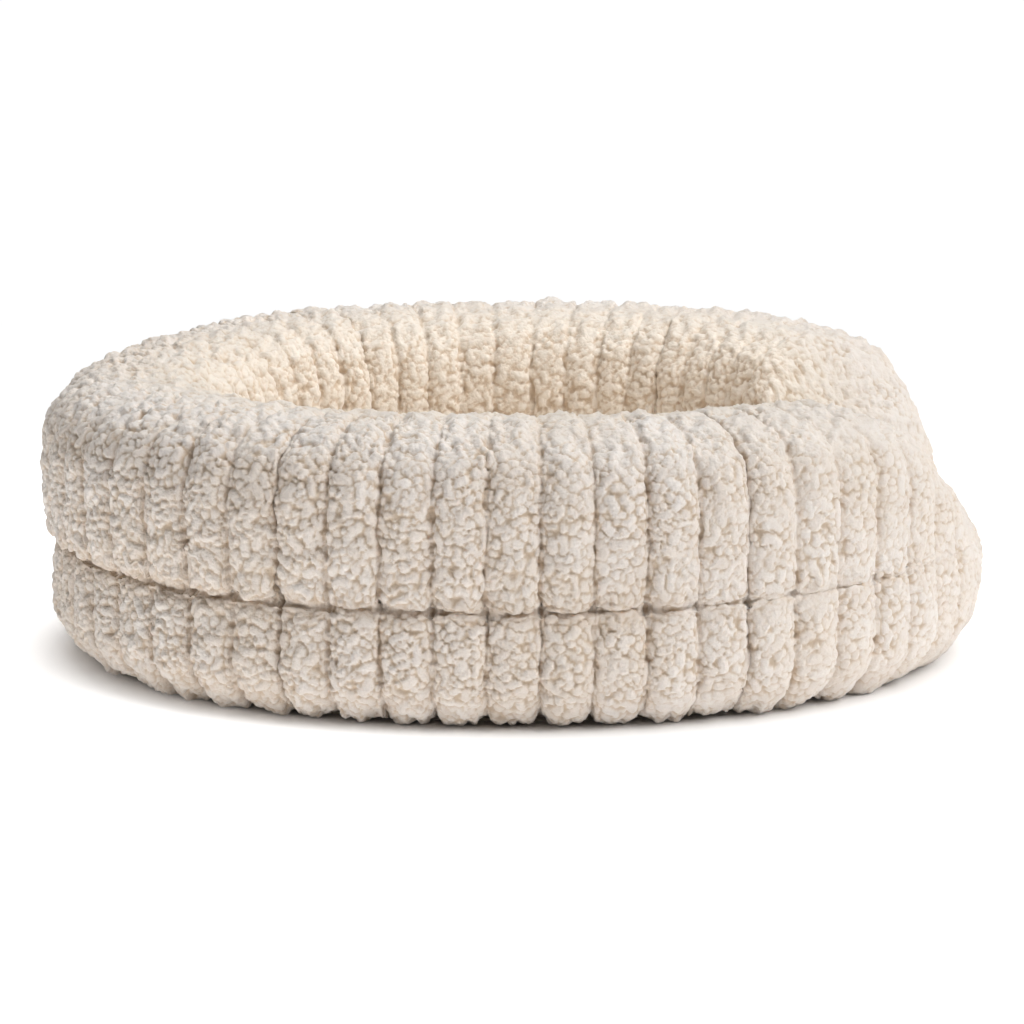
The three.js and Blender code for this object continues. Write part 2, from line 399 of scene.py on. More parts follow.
def scatter_curls(grid, usable, seed):
    """Lays curls over a grid of points, big ones first. Each is a short bent row of lumps.

    Returns each lump's centre, radius, grid place and the number of its curl.
    """
    rng = np.random.default_rng(seed)
    right = np.roll(grid, -1, axis=0) - grid
    up = np.roll(grid, -1, axis=1) - grid
    area = np.linalg.norm(np.cross(right, up), axis=-1) * usable
    total = np.cumsum(area.ravel())
    tries = int(total[-1] / (LUMP_TYPICAL ** 2) * TRIES_A_LUMP)
    cell = np.searchsorted(total, rng.uniform(0, total[-1], tries))
    column, row = np.divmod(cell, grid.shape[1])
    start = (grid[column, row] + right[column, row] * rng.random((tries, 1))
             + up[column, row] * rng.random((tries, 1)))
    radius = np.clip(LUMP_TYPICAL * np.exp(rng.normal(0, LUMP_VARIETY, tries)), *LUMP_RADIUS)
    length = rng.choice(len(CURL_LENGTHS), tries, p=CURL_LENGTHS) + 1
    heading = rng.uniform(0, 2 * np.pi, tries)
    bend = rng.normal(0, CURL_BEND, (tries, len(CURL_LENGTHS)))
    shuffle = np.exp(rng.normal(0, ORDER_SHUFFLE, tries))
    order = np.argsort(-(radius * (1 + LONG_FIRST * length)) * shuffle)
    side, rise = unit(right[column, row]), unit(up[column, row])
    wide = np.linalg.norm(right[column, row], axis=-1)
    tall = np.linalg.norm(up[column, row], axis=-1)
    size = 2 * LUMP_RADIUS[1] * LUMP_PACKING
    taken = {}
    kept = []
    starts, sides, rises = start.tolist(), side.tolist(), rise.tolist()
    columns, rows = grid.shape[:2]
    ground = (usable > 0).tolist()
    for n in order.tolist():
        x, y, z = starts[n]
        (sx, sy, sz), (ux, uy, uz) = sides[n], rises[n]
        r, way, over, along = float(radius[n]), float(heading[n]), 0.0, 0.0
        lumps = []
        for m in range(int(length[n])):
            here = (x + sx * over + ux * along,
                    y + sy * over + uy * along,
                    z + sz * over + uz * along)
            box = tuple(int(v // size) for v in here)
            c, j = column[n] + over / wide[n], row[n] + along / tall[n]
            if crowded(taken, box, here, r) or not ground[round(c) % columns][round(j) % rows]:
                break
            lumps.append((box, here, r, c, j))
            way += bend[n, m]
            over += LUMP_STEP * r * math.cos(way)
            along += LUMP_STEP * r * math.sin(way)
            r *= LUMP_TAPER
        for box, here, r, c, j in lumps:
            taken.setdefault(box, []).append((*here, r))
            kept.append((*here, r, c, j, n))
    kept = np.array(kept)
    place = np.round(kept[:, 4:6]).astype(int)
    place[:, 1] = np.clip(place[:, 1], 0, rows - 1)
    return kept[:, :3], kept[:, 3], place[:, 0], place[:, 1], kept[:, 6].astype(int)


class Pile:
    """Curls scattered over a grid of points, and the height of the pile that they make."""

    def __init__(self, grid, usable, seed, wrap):
        self.grid, self.wrap = grid, wrap
        self.centre, radius, column, self.row, self.curl = scatter_curls(grid, usable, seed)
        columns = grid.shape[0]
        self.column = column % columns if wrap else np.clip(column, 0, columns - 1)
        rng = np.random.default_rng(seed + 1)
        count, curls = len(self.centre), self.curl.max() + 1
        self.reach = radius * LUMP_SPREAD
        self.top = (-np.abs(rng.normal(0, CURL_SUNK, curls)))[self.curl]
        self.top = self.top - LUMP_SUNK * np.abs(rng.normal(0, 1, count))
        self.tone = rng.random(curls)[self.curl]
        self.waver_seeds = [seed + 3, seed + 4, seed + 5]

    def wavy(self, points):
        shifts = [soft_noise(points, WAVER_LENGTH, seed) for seed in self.waver_seeds]
        return points + WAVER * np.stack(shifts, axis=-1)

    def dome(self, points, n):
        """Height of lump n at points, below the tips."""
        share = ((points - self.centre[n]) ** 2).sum(-1) / self.reach[n] ** 2
        round_top = (1 - np.clip(share, 0, 1) ** (LUMP_FULLNESS / 2)) ** (1 / LUMP_FULLNESS)
        height = self.top[n] - self.reach[n] * LUMP_BULGE * (1 - round_top)
        return np.where(share < 1, height, -PILE_FLOOR)

    def steps(self):
        """The grid's steps to the right and up at each point."""
        return (np.linalg.norm(np.roll(self.grid, -1, axis=0) - self.grid, axis=-1),
                np.linalg.norm(np.roll(self.grid, -1, axis=1) - self.grid, axis=-1))

    def highest(self, points):
        """The tallest lump at each point and the tallest of another curl: heights and numbers."""
        columns, rows = points.shape[:2]
        step_right, step_up = (np.maximum(step, LEAST_STEP) for step in self.steps())
        first = np.full((columns, rows), -PILE_FLOOR)
        second = np.full((columns, rows), -PILE_FLOOR)
        winner = np.full((columns, rows), -1)
        runner = np.full((columns, rows), -1)
        curl = np.append(self.curl, -1)
        for n in range(len(self.centre)):
            c, r = self.column[n], self.row[n]
            wide = int(self.reach[n] / step_right[c, r] + 2)
            tall = int(self.reach[n] / step_up[c, r] + 2)
            i = np.arange(c - wide, c + wide + 2)
            i = i % columns if self.wrap else i[(i >= 0) & (i < columns)]
            j = slice(max(r - tall, 0), min(r + tall + 2, rows))
            height = self.dome(points[i, j], n)
            best, next_best, held, next_held = first[i, j], second[i, j], winner[i, j], runner[i, j]
            other = curl[held] != curl[n]
            wins = height > best
            pushed = wins & other
            follows = ~wins & other & (height > next_best)
            second[i, j] = np.where(pushed, best, np.where(follows, height, next_best))
            runner[i, j] = np.where(pushed, held, np.where(follows, n, next_held))
            first[i, j] = np.where(wins, height, best)
            winner[i, j] = np.where(wins, n, held)
        return first, second, winner, runner

    def snap(self, normals, stride):
        """Slides grid points onto the creases between curls that pass close by.

        stride is the step from column to column that the mesh uses, 2 in thinned rows.
        """
        points = self.wavy(self.grid)
        _, _, winner, runner = self.highest(points)
        both = (winner >= 0) & (runner >= 0)
        a, b = winner[both], runner[both]
        here, facing = points[both], normals[both]
        towards = self.centre[b] - self.centre[a]
        towards = unit(towards - facing * (towards * facing).sum(-1, keepdims=True))

        def lead(t):
            moved = here + towards * t[:, None]
            return self.dome(moved, a) - self.dome(moved, b)

        # The crease is where the two lumps are equally high, found by the secant method. The tiny
        # numbers keep it from dividing by nothing.
        before = np.zeros(len(a))
        lead_before = lead(before)
        t = before + SNAP_START
        for _ in range(SNAP_ROUNDS):
            lead_now = lead(t)
            gone = np.where(np.abs(t - before) < 1e-6, 1e-6, t - before)
            fall = (lead_now - lead_before) / gone
            new = t - lead_now / np.where(fall < -1e-3, fall, -1e-3)
            before, lead_before, t = t, lead_now, np.clip(new, *SNAP_RANGE)
        step_right, step_up = self.steps()
        step = 0.5 * (step_right * stride + step_up)[both]
        slide = np.where((t >= 0) & (t < SNAP_SHARE * step), t, 0.0)
        moved = self.grid.copy()
        moved[both] += towards * slide[:, None]
        return moved

    def grow(self, points):
        """The pile's height below its tips, its tone, and at each point the painted shade of the
        creases between curls.
        """
        first, second, winner, _ = self.highest(self.wavy(points))
        narrow = np.exp(-((first - second) / CREASE_WIDTH) ** 2)
        # The wide part spreads the creases' painted shade out over each lump, darker towards its
        # edge.
        wide = np.exp(-(first - second) / CREASE_SHADE_SPREAD)
        crease = CREASE_SHADE_SHARE[0] * narrow + CREASE_SHADE_SHARE[1] * wide
        tone = np.where(winner >= 0, self.tone[winner], 0.5)
        return first - CREASE_DEPTH * narrow, tone, crease


def add_object(name, data):
    thing = bpy.data.objects.new(name, data)
    bpy.context.scene.collection.objects.link(thing)
    return thing


def mesh_object(name, points, faces, attributes, material):
    """A mesh from points in millimetres, and lists of faces as index arrays of one size each."""
    mesh = bpy.data.meshes.new(name)
    mesh.vertices.add(len(points))
    mesh.vertices.foreach_set("co", (points * MM).astype(np.float32).ravel())
    loops = np.concatenate([f.ravel() for f in faces])
    sizes = np.concatenate([np.full(len(f), f.shape[1]) for f in faces])
    starts = np.concatenate([[0], np.cumsum(sizes)[:-1]])
    mesh.loops.add(len(loops))
    mesh.loops.foreach_set("vertex_index", loops.astype(np.int32))
    mesh.polygons.add(len(sizes))
    mesh.polygons.foreach_set("loop_start", starts.astype(np.int32))
    mesh.polygons.foreach_set("use_smooth", np.ones(len(sizes), bool))
    mesh.update(calc_edges=True)
    mesh.validate()
    for key, values in attributes.items():
        attribute = mesh.attributes.new(key, "FLOAT", "POINT")
        attribute.data.foreach_set("value", values.astype(np.float32).ravel())
    mesh.materials.append(material)
    return add_object(name, mesh)


def compact(points, faces, attributes):
    """Drops points that no face uses."""
    used = np.unique(np.concatenate([f.ravel() for f in faces]))
    place = np.zeros(len(points), int)
    place[used] = np.arange(len(used))
    return points[used], [place[f] for f in faces], {k: v[used] for k, v in attributes.items()}


# The wall

def central(surface, axis):
    """From the point before to the point after, along one axis of a grid of points."""
    return np.roll(surface, -1, axis=axis) - np.roll(surface, 1, axis=axis)


def normals_of(surface):
    return unit(np.cross(central(surface, 0), central(surface, 1)))


def wall_outline(section):
    """Each section as a closed row of points (offset, z): outer side, inner side, then the sole."""
    foot = np.full_like(section["seam"], FOOT)
    seam, top = section["seam"], section["top"]
    outer = [
        section_side(section, foot, seam, 1, ROWS["lower"])[:, :-1],
        section_side(section, seam, top, 1, ROWS["upper"])[:, :-1],
    ]
    inner = [
        section_side(section, seam, top, -1, ROWS["inner_upper"])[:, ::-1][:, :-1],
        section_side(section, foot, seam, -1, ROWS["inner_lower"])[:, ::-1],
    ]
    start, end = inner[1][:, -1], outer[0][:, 0]
    across_foot = np.linspace(0, 1, ROWS["foot"] + 2)[1:-1]
    sole = start[:, None] + (end - start)[:, None] * across_foot[None, :, None]
    return np.concatenate(outer + inner + [sole], axis=1)


def wall_base():
    """The wall without its pile, as points (column, row), with what build_wall needs of each."""
    count = RIBS * COLUMNS
    rib, step = np.divmod(np.arange(count), COLUMNS)
    across = step / COLUMNS
    across = across - CROWDING * np.sin(2 * np.pi * across) / (2 * np.pi)
    angle = angles_round((rib + across) / RIBS)
    section = section_at(angle)
    section["crease"] = section["crease"] * fading(np.cos(angle), *CREASE_FADE)[:, None]
    outline = wall_outline(section)
    rows = outline.shape[1]
    on_sole = np.zeros(rows, bool)
    on_sole[-ROWS["foot"] - 1:] = True

    along = central(outline, 1)
    facing = unit(np.stack([along[..., 1], -along[..., 0]], axis=-1))
    turned = np.repeat(angle[:, None], rows, axis=1)
    smooth = beside_oval(turned, outline[..., 0], outline[..., 1])
    straight = normals_of(smooth)

    # No two ribs are quite alike. Grooves fade over the crest, in the hollow and at the entrance.
    rng = np.random.default_rng(RIB_SEED)
    crown = ((4 * across * (1 - across)) ** RIB_ROUNDNESS)[:, None]
    fade = fading(straight[..., 2], *CREST_FADE)
    fade = fade * fading(np.cos(angle), *ENTRANCE_FADE)[:, None]
    fade = fade * fading(-outline[..., 0], *HOLLOW_FADE)
    depth = RIB_RELIEF * (1 - crown) * fade * rng.uniform(*RIB_VARIETY, RIBS)[rib][:, None]
    depth = depth + rng.normal(0, RIB_UNEVEN, RIBS)[rib][:, None] * crown
    depth = np.where(on_sole[None, :], 0, depth)
    sunk = outline - facing * depth[..., None]
    grid = beside_oval(turned, sunk[..., 0], sunk[..., 1])

    # Grooves wander a little from side to side, and the crease up and down.
    sideways, upwards = unit(central(grid, 0)), unit(central(grid, 1))
    grid = grid + sideways * (WANDER * noise(smooth, "sideways") * ~on_sole)[..., None]
    grid = grid + upwards * (WANDER * noise(smooth, "upwards") * ~on_sole)[..., None]

    gap = (np.minimum(across, 1 - across) * RIB_WIDTH)[:, None]
    shoulder = np.where(gap < SLIT_SHOULDER, SHOULDER_DEPTH, 0.0)
    open_groove = 0.55 + 0.45 * noise(smooth, "open_groove")
    slit = np.where(gap < SLIT_HALF_WIDTH, 1.0, shoulder) * np.clip(open_groove, 0.1, 1.0) * fade
    from_seam = np.abs(np.arange(rows) - ROWS["lower"])[None, :] / SEAM_SLIT_ROWS
    parting = section["crease"] / CREASE_WHOLE
    seam_slit = SEAM_SLIT * np.exp(-from_seam ** 2) * parting * np.clip(open_groove + 0.3, 0.5, 1)
    slit = np.maximum(slit, seam_slit)
    return {
        "grid": grid,
        "direction": unit(0.5 * normals_of(grid) + 0.5 * straight),
        "out": beside_oval(turned, outline[..., 0] + 1, outline[..., 1]) - smooth,
        "up": straight[..., 2],
        "angle": angle,
        "depth": depth,
        "slit": np.where(on_sole[None, :], 0, slit),
        "parting": parting,
        "usable": (gap > BARE_BY_GROOVE) & ~on_sole[None, :],
        "on_sole": on_sole,
    }


def wall_faces(index, thin_from):
    """Faces of a strip of the wall. Rows from thin_from to the last use every other column."""
    here, after = index[:-1], index[1:]
    full = slice(0, thin_from)
    up = np.roll(index, -1, axis=1)
    dense = np.stack([here[:, full], after[:, full], up[1:, full], up[:-1, full]], axis=-1)
    a, b, c = index[:-2:2], index[1:-1:2], index[2::2]
    rows = slice(thin_from + 1, index.shape[1] - 1)
    thin = np.stack([a[:, rows], c[:, rows], up[2::2, rows], up[:-2:2, rows]], axis=-1)
    top, below = thin_from, thin_from + 1
    last = index.shape[1] - 1
    triangles = np.concatenate([
        np.stack([a[:, top], b[:, top], a[:, below]], axis=-1),
        np.stack([a[:, last], b[:, 0], a[:, 0]], axis=-1),
    ])
    quads = np.concatenate([
        np.stack([b[:, top], c[:, top], c[:, below], a[:, below]], axis=-1),
        np.stack([a[:, last], c[:, last], c[:, 0], b[:, 0]], axis=-1),
    ])
    return [dense.reshape(-1, 4), thin.reshape(-1, 4), quads, triangles]


def hang_locks(shown, grid, slit, out):
    """Returns the pile drawn down in locks over the crease and over the lower edge."""
    seam = ROWS["lower"]
    row = np.arange(grid.shape[1])
    above = row[None, :] - seam
    fringe = smoothstep(above, *FRINGE_START) * (1 - smoothstep(above, *FRINGE_END))
    hang = np.clip(0.5 + 0.6 * noise(grid[:, seam:seam + 1], "crease_locks"), 0, 1)
    sample = seam + FRINGE_SAMPLE
    hang = hang * (1 - 0.6 * np.clip(slit[:, sample:sample + 1], 0, 1))
    shown = shown + out * (FRINGE_OUT * fringe * hang)[..., None]
    shown[..., 2] -= fringe * (FRINGE_DROP[0] + FRINGE_DROP[1] * hang)

    outside = row[None, :] < seam
    locks = np.sin(np.pi / 2 * np.clip(0.5 + 0.8 * noise(grid[:, :1], "edge_locks"), 0, 1))
    drop = LOCK_LEAST + (LOCK_MOST - LOCK_LEAST) * locks * (
        1 - 0.5 * np.clip(slit[:, LOCK_SAMPLE:LOCK_SAMPLE + 1], 0, 1))
    low, high = LOCK_HEIGHTS
    near_floor = smoothstep(-grid[..., 2], -high, -low) * smoothstep(row, *LOCK_ROWS)[None, :]
    shown[..., 2] -= near_floor * outside * drop
    shown[..., 2] = np.maximum(shown[..., 2], np.where(outside, ABOVE_FLOOR, FOOT))
    return shown


def build_wall(material):
    base = wall_base()
    grid, direction, slit = base["grid"], base["direction"], base["slit"]
    rows = grid.shape[1]
    thin_from = ROWS["lower"] + ROWS["upper"]
    stride = np.where(np.arange(rows) > thin_from, 2.0, 1.0)[None, :]
    curls = Pile(grid, base["usable"], WALL_SEED, wrap=True)
    placed = np.where((slit > 0.1)[..., None], grid, curls.snap(direction, stride))
    height, tone, crease = curls.grow(placed)

    east, north = np.cos(base["angle"])[:, None], np.sin(base["angle"])[:, None]
    entrance, other_end = smoothstep(east, *ENTRANCE_END), smoothstep(-east, *OTHER_END)
    crest = smoothstep(base["up"], *CREST)
    back_crest = crest * smoothstep(north, *BACK)
    low, high = HOLLOW_ROWS
    hollow = smoothstep(np.arange(rows), thin_from + low, thin_from + high)
    hollow = np.broadcast_to(hollow, grid.shape[:2])

    # The pile is brushed flatter over the crest, at the entrance and along the back.
    calm = BRUSHED_CREST * crest + BRUSHED_ENTRANCE * entrance
    calm = np.clip(calm + BRUSHED_PATCHES * noise(grid, "brushed"), 0, BRUSHED_MOST)
    calm = np.maximum(calm * (1 - 0.6 * hollow), BRUSHED_BACK * back_crest)
    height = -PILE_MIDDLE + (height + PILE_MIDDLE) * (1 - calm)

    # Slow unevenness of the pile, finer over the crest. Slits close up towards the entrance.
    slit = slit * (1 - 0.75 * entrance)
    lump = 0.7 * noise(grid, "broad")
    lump = lump + 0.9 * noise(grid, "middling") * (1 - 0.5 * np.maximum(hollow, entrance))
    lump = lump + (1.5 * noise(grid, "crest") + 0.6 * noise(grid, "crest_fine")) * crest
    lift = height + PILE_RISE + lump - SLIT_DEPTH * slit
    lift = np.where(base["on_sole"][None, :], 0, lift)
    shown = hang_locks(placed + direction * lift[..., None], grid, slit, base["out"])

    # What the material reads. Painted shade in the grooves, along the crease and between the curls
    # is weaker towards the entrance, where the light falls, and in the grooves and along the crease
    # darker at the other end. The crest is painted palest as a highlight, and the hollow's tips
    # take painted bounce light.
    above = np.arange(rows)[None, :] - ROWS["lower"]
    # Painted shade in the grooves and their slits, less towards the lit entrance, more at the other
    # end.
    groove = 0.6 * np.clip(base["depth"] / RIB_RELIEF + 0.5 * slit, 0, 1)
    groove = groove * (1 - 0.5 * entrance + 0.6 * other_end)
    # Painted shadow: a soft band along the crease, where the upper roll's lip shades the wall.
    seam_shadow = np.exp(-(above / SEAM_SHADOW_ROWS) ** 2) * base["parting"]
    seam_shadow = seam_shadow * (1 - 0.6 * entrance + 0.3 * other_end)
    crease = crease * (1 - calm) * (1 - 0.6 * crest * (1 - 0.6 * hollow))
    attributes = {
        "groove": np.maximum(groove, seam_shadow),
        # Tone differs at random by curl; over the crest it is raised to a painted highlight.
        "tone": np.maximum(0.75 * tone, crest),
        "buried": np.clip(-height / PILE_FLOOR + 0.4 * slit, 0, 1),
        "crease": crease * (1 - 0.4 * entrance * (1 - hollow)),
        # The hollow's inner side takes the paler, warmer tips of painted bounce light.
        "nest": hollow,
    }
    for k in range(SEGMENTS):
        add_segment(k, shown, thin_from, attributes, material)


def add_segment(k, shown, thin_from, attributes, material):
    """One length of the wall as a piece of its own, closed at both ends by a fan of triangles."""
    columns, rows = shown.shape[:2]
    width = columns // SEGMENTS
    picked = (np.arange(width + 1) + k * width) % columns
    index = np.arange(len(picked) * rows).reshape(len(picked), rows)
    strip = shown[picked].reshape(-1, 3)
    ends = (index[0], index[-1, ::-1])
    middles = [strip[loop].mean(axis=0) for loop in ends]
    caps = [np.stack([np.full(rows, len(strip) + n), loop, np.roll(loop, -1)], axis=-1)
            for n, loop in enumerate(ends)]
    points, faces, kept = compact(
        np.concatenate([strip, middles]),
        [*wall_faces(index, thin_from), *caps],
        {key: np.append(values[picked].ravel(), [0.5, 0.5]) for key, values in attributes.items()},
    )
    piece = mesh_object(f"bolster_wall_{k + 1}", points, faces, kept, material)
    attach(piece, "root")
    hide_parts("bolster_wall")


# The seat cushion

def edge_radius():
    """The cushion's outline round its middle: directions in plan, and the radius in each."""
    angle = np.linspace(0, 2 * np.pi, EDGE_SAMPLES)[:-1]
    offset = -(station("girth", angle) + CUSHION_GAP - CUSHION_TUCK)
    plan = beside_oval(angle, offset, np.zeros_like(angle))[:, :2]
    direction = np.arctan2(plan[:, 1], plan[:, 0])
    order = np.argsort(direction)
    return direction[order], np.linalg.norm(plan[order], axis=1)


def cushion_profile():
    """The cushion's profile, smoothed: insets, heights and the length along it."""
    inset, z = CUSHION_PROFILE.T
    fine = np.linspace(0, PROFILE_FINE, PROFILE_SAMPLES[0])
    coarse = np.linspace(PROFILE_FINE, inset[-1], PROFILE_SAMPLES[1])[1:]
    insets = np.concatenate([fine, coarse])
    heights = np.interp(insets, inset, z)
    kernel = np.hanning(PROFILE_SMOOTHING) / np.hanning(PROFILE_SMOOTHING).sum()
    heights = np.pad(heights, PROFILE_SMOOTHING // 2, mode="edge")
    heights = np.convolve(heights, kernel, mode="valid")
    steps = np.hypot(np.diff(insets), np.diff(heights))
    return insets, heights, np.concatenate([[0.0], np.cumsum(steps)])


def cushion_top():
    """The cushion's upper side without its pile: a square grid of points drawn out to the oval."""
    u, v = (np.linspace(-1, 1, n + 1) for n in CUSHION_GRID)
    u, v = np.meshgrid(u, v, indexing="ij")
    x, y = u * np.sqrt(1 - v * v / 2), v * np.sqrt(1 - u * u / 2)
    part = np.minimum(np.hypot(x, y), 1)
    bearing = np.arctan2(y * CUSHION_HALF[1], x * CUSHION_HALF[0])
    directions, radii = edge_radius()
    radius = np.interp(bearing, directions, radii, period=2 * np.pi)
    insets, heights, lengths = cushion_profile()
    along = (1 - part) * np.interp(radius, insets, lengths)
    inset = np.interp(along, lengths, insets)
    height = np.interp(along, lengths, heights)
    reach = radius - inset
    grid = np.stack([reach * np.cos(bearing), reach * np.sin(bearing), height], axis=-1)
    grid[..., 2] -= SEAT_DIP * (1 + noise(grid, "seat")) * smoothstep(inset, *SEAT_DIP_FROM)
    return grid


def build_cushion(material):
    grid = cushion_top()
    normals = unit(np.cross(np.gradient(grid, axis=0), np.gradient(grid, axis=1)))
    usable = np.ones(grid.shape[:2])
    usable[-1, :] = usable[:, -1] = 0
    curls = Pile(grid, usable, CUSHION_SEED, wrap=False)
    edge = np.ones(grid.shape[:2], bool)
    edge[1:-1, 1:-1] = False
    placed = np.where(edge[..., None], grid, curls.snap(normals, 1.0))
    height, tone, crease = curls.grow(placed)
    lift = np.where(edge, -EDGE_SUNK, height)
    shown = placed + normals * lift[..., None]

    # The top, then rings of faces down from its rim, and a fan that closes the underside.
    columns, rows = grid.shape[:2]
    index = np.arange(columns * rows).reshape(columns, rows)
    top = np.stack([index[:-1, :-1], index[1:, :-1], index[1:, 1:], index[:-1, 1:]], axis=-1)
    rim = np.concatenate([index[:-1, 0], index[-1, :-1], index[:0:-1, -1], index[0, :0:-1]])
    rim_points = shown.reshape(-1, 3)[rim]
    inward = unit(rim_points * [1, 1, 0])
    below = []
    for shrink, level in CUSHION_LOWER_EDGE:
        ring = rim_points - inward * shrink
        ring[:, 2] = level
        below.append(ring)
    points = np.concatenate([shown.reshape(-1, 3), *below, [[0, 0, FOOT]]])
    start = columns * rows
    rings = [rim, start + np.arange(len(rim)), start + len(rim) + np.arange(len(rim))]
    sides = [np.stack([b, np.roll(b, -1), np.roll(a, -1), a], axis=-1)
             for a, b in zip(rings, rings[1:])]
    middle = np.full(len(rim), len(points) - 1)
    cap = np.stack([middle, np.roll(rings[-1], -1), rings[-1]], axis=-1)
    extra = len(points) - start
    # Painted shade deep in the pile and between the curls; the whole cushion takes the hollow's
    # painted bounce light.
    buried = np.clip(-height / PILE_FLOOR, 0, 1)
    attributes = {
        "groove": np.zeros(len(points)),
        "tone": np.concatenate([tone.ravel(), np.full(extra, 0.5)]),
        "buried": np.concatenate([buried.ravel(), np.full(extra, 0.5)]),
        "crease": np.concatenate([crease.ravel(), np.zeros(extra)]),
        "nest": np.ones(len(points)),
    }
    faces = [top.reshape(-1, 4), *sides, cap]
    piece = mesh_object("seat_cushion_pile", points, faces, attributes, material)
    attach(piece, "root")
    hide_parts("seat_cushion")


# The base cloth

def build_base(material):
    """The flat oval under the bed, with a rounded edge."""
    angle = np.linspace(0, 2 * np.pi, BASE_SIDES + 1)[:-1]
    rings = [beside_oval(angle, np.full(BASE_SIDES, BASE_OVERHANG - inset), np.full(BASE_SIDES, z))
             for inset, z in BASE_SECTION]
    points = np.concatenate([*rings, [[0, 0, 0], [0, 0, BASE_THICKNESS]]])
    index = np.arange(BASE_SIDES * len(rings)).reshape(len(rings), BASE_SIDES)
    sides = [np.stack([a, np.roll(a, -1), np.roll(b, -1), b], axis=-1)
             for a, b in zip(index, index[1:])]
    low, high = np.full(BASE_SIDES, len(points) - 2), np.full(BASE_SIDES, len(points) - 1)
    caps = [np.stack([low, np.roll(index[0], -1), index[0]], axis=-1),
            np.stack([high, index[-1], np.roll(index[-1], -1)], axis=-1)]
    piece = mesh_object("base_cloth_sheet", points, sides + caps, {}, material)
    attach(piece, "root")
    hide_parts("base_cloth")


# Materials

class Nodes:
    """Short calls for building a material."""

    def __init__(self, name):
        self.material = bpy.data.materials.new(name)
        self.material.use_nodes = True
        self.tree = self.material.node_tree
        self.tree.nodes.clear()

    def put(self, socket, value):
        """Links an output to a socket, or writes a constant on it."""
        if isinstance(value, bpy.types.NodeSocket):
            self.tree.links.new(value, socket)
        else:
            socket.default_value = value

    def add(self, kind, settings=None, **inputs):
        """A node. settings are its own, and inputs are named after its sockets, _ for a space."""
        node = self.tree.nodes.new(kind)
        for key, value in (settings or {}).items():
            setattr(node, key, value)
        for key, value in inputs.items():
            self.put(node.inputs[key.replace("_", " ")], value)
        return node

    def math(self, operation, first, second=0.0):
        node = self.add("ShaderNodeMath", {"operation": operation})
        self.put(node.inputs[0], first)
        self.put(node.inputs[1], second)
        return node.outputs[0]

    def ramp(self, value, low, high, to_low=0.0, to_high=1.0):
        return self.add("ShaderNodeMapRange", {"interpolation_type": "SMOOTHSTEP"}, Value=value,
                        From_Min=low, From_Max=high, To_Min=to_low, To_Max=to_high).outputs[0]

    def mix(self, factor, first, second):
        node = self.add("ShaderNodeMix", {"data_type": "RGBA", "blend_type": "MIX"})
        for number, value in ((0, factor), (6, first), (7, second)):
            self.put(node.inputs[number], value)
        return node.outputs[2]

    def finish(self, surface):
        self.add("ShaderNodeOutputMaterial", Surface=surface)
        return self.material


def fleece(name):
    n = Nodes(name)
    place = n.add("ShaderNodeTexCoord").outputs["Object"]
    groove, tone, buried, crease, nest = (
        n.add("ShaderNodeAttribute", {"attribute_name": key}).outputs["Fac"]
        for key in ("groove", "tone", "buried", "crease", "nest")
    )
    tufts = n.add("ShaderNodeTexVoronoi", {"feature": "F1"}, Vector=place, Scale=430.0)
    fibre = n.add("ShaderNodeTexNoise", Vector=place, Scale=1100.0, Detail=3.0, Roughness=0.7)
    patch = n.add("ShaderNodeTexNoise", Vector=place, Scale=14.0, Detail=2.0)
    # Tips differ at random by curl, and are palest over the crest, a painted highlight.
    tip = n.mix(tone, TIP_DARK, TIP_PALE)
    tip = n.mix(n.ramp(patch.outputs["Fac"], 0.35, 0.7, 0.0, 0.5), tip, TIP_PATCH)
    tip = n.mix(n.ramp(fibre.outputs["Fac"], 0.3, 0.62, 0.25, 0.0), tip, TIP_FIBRE)
    # Painted bounce light: paler, warmer tips in the hollow and on the cushion.
    tip = n.mix(nest, tip, TIP_HOLLOW_BOUNCE)
    # Painted shade down between the curls.
    shade = n.mix(n.math("MULTIPLY", crease, CREASE_SHADE_TINT), tip, CREASE_SHADE_COLOUR)
    # Painted shade deep in the pile and in the slits.
    shade = n.mix(n.ramp(buried, 0.35, 1.0), shade, DEEP_SHADE_COLOUR)
    # Painted shade in the grooves and along the crease.
    colour = n.mix(n.math("MULTIPLY", groove, GROOVE_SHADE_TINT), shade, GROOVE_SHADE_COLOUR)
    bump_height = n.math("ADD", n.math("MULTIPLY", tufts.outputs["Distance"], -1.0),
                         n.math("MULTIPLY", fibre.outputs["Fac"], 0.7))
    bump = n.add("ShaderNodeBump", Height=bump_height, Strength=0.5, Distance=0.0012)
    shader = n.add(
        "ShaderNodeBsdfPrincipled", {"subsurface_method": "BURLEY"},
        Base_Color=colour, Roughness=1.0, Normal=bump.outputs[0], Specular_IOR_Level=0.1,
        Subsurface_Weight=0.35, Subsurface_Radius=(1.0, 0.8, 0.6), Subsurface_Scale=0.003,
        Sheen_Weight=0.5, Sheen_Roughness=0.5, Sheen_Tint=(1.0, 0.97, 0.93, 1),
    )
    return n.finish(shader.outputs[0])


